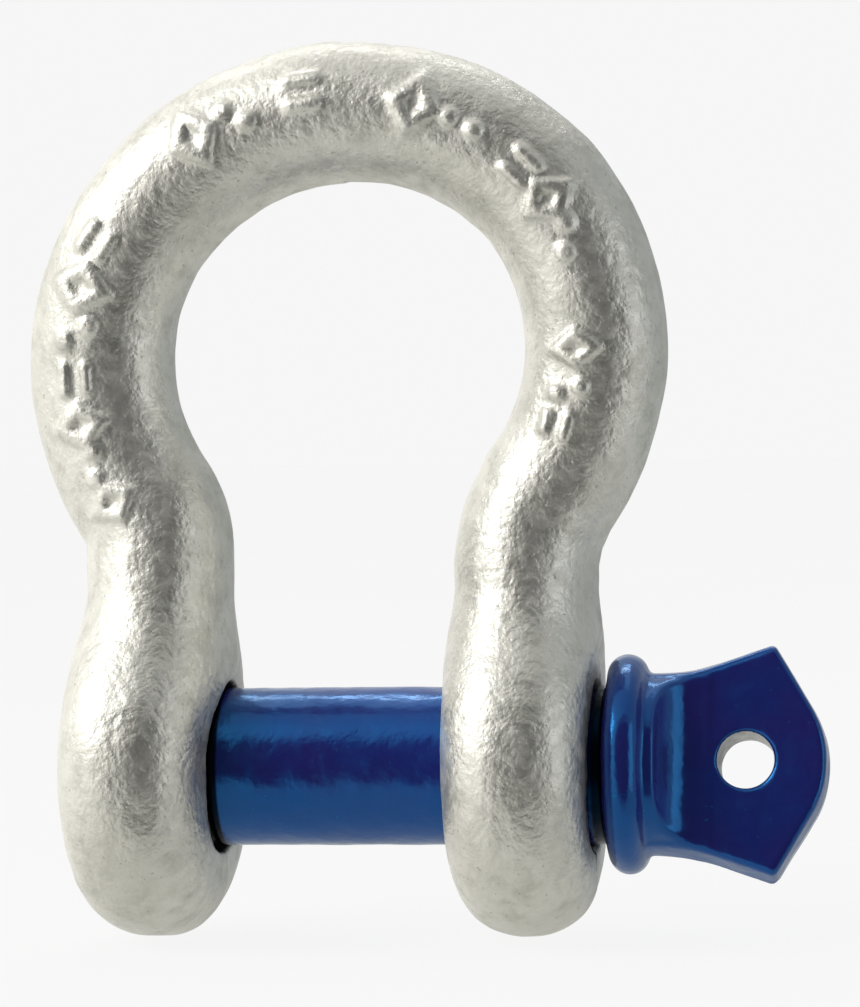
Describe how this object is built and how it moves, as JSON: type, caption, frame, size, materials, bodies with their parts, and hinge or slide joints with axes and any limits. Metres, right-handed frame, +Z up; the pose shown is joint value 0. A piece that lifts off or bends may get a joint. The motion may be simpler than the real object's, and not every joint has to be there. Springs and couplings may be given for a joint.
{
  "type": "bow shackle",
  "caption": "Forged steel bow shackle: a round-bar bow with an eye on each leg, closed by a screw pin that has a collar and a flared tab with a hole.",
  "frame": {"origin": "on the pin's axis, midway between the two ears", "axes": "+X along the pin towards its head, +Z up to the crown of the bow, +Y through the bow's window"},
  "size_m": [0.1138, 0.0472, 0.1256],
  "materials": {
    "galvanised_steel": "hot-dip galvanised, satin, faintly dimpled",
    "blue_paint": "thick glossy enamel",
    "bare_steel": "cut thread, oiled"
  },
  "bodies": {
    "bow": {"bow_body": "galvanised_steel"},
    "pin_carrier": {"pin_shank": "blue_paint"},
    "pin": {"pin_thread": "bare_steel", "pin_head": "blue_paint"}
  },
  "joints": [
    {"name": "pin_advance", "type": "slide", "parent": "bow", "child": "pin_carrier", "axis": [1, 0, 0], "range_m": [-0.00129, 0.0733]},
    {"name": "pin_turn", "type": "hinge", "parent": "pin_carrier", "child": "pin", "pos_m": [0, 0, 0], "axis": [1, 0, 0], "range_deg": [-165, 9360]}
  ],
  "couplings": [
    {"joint": "pin_turn", "follows": "pin_advance", "rad_per_m": 2226.5}
  ]
}
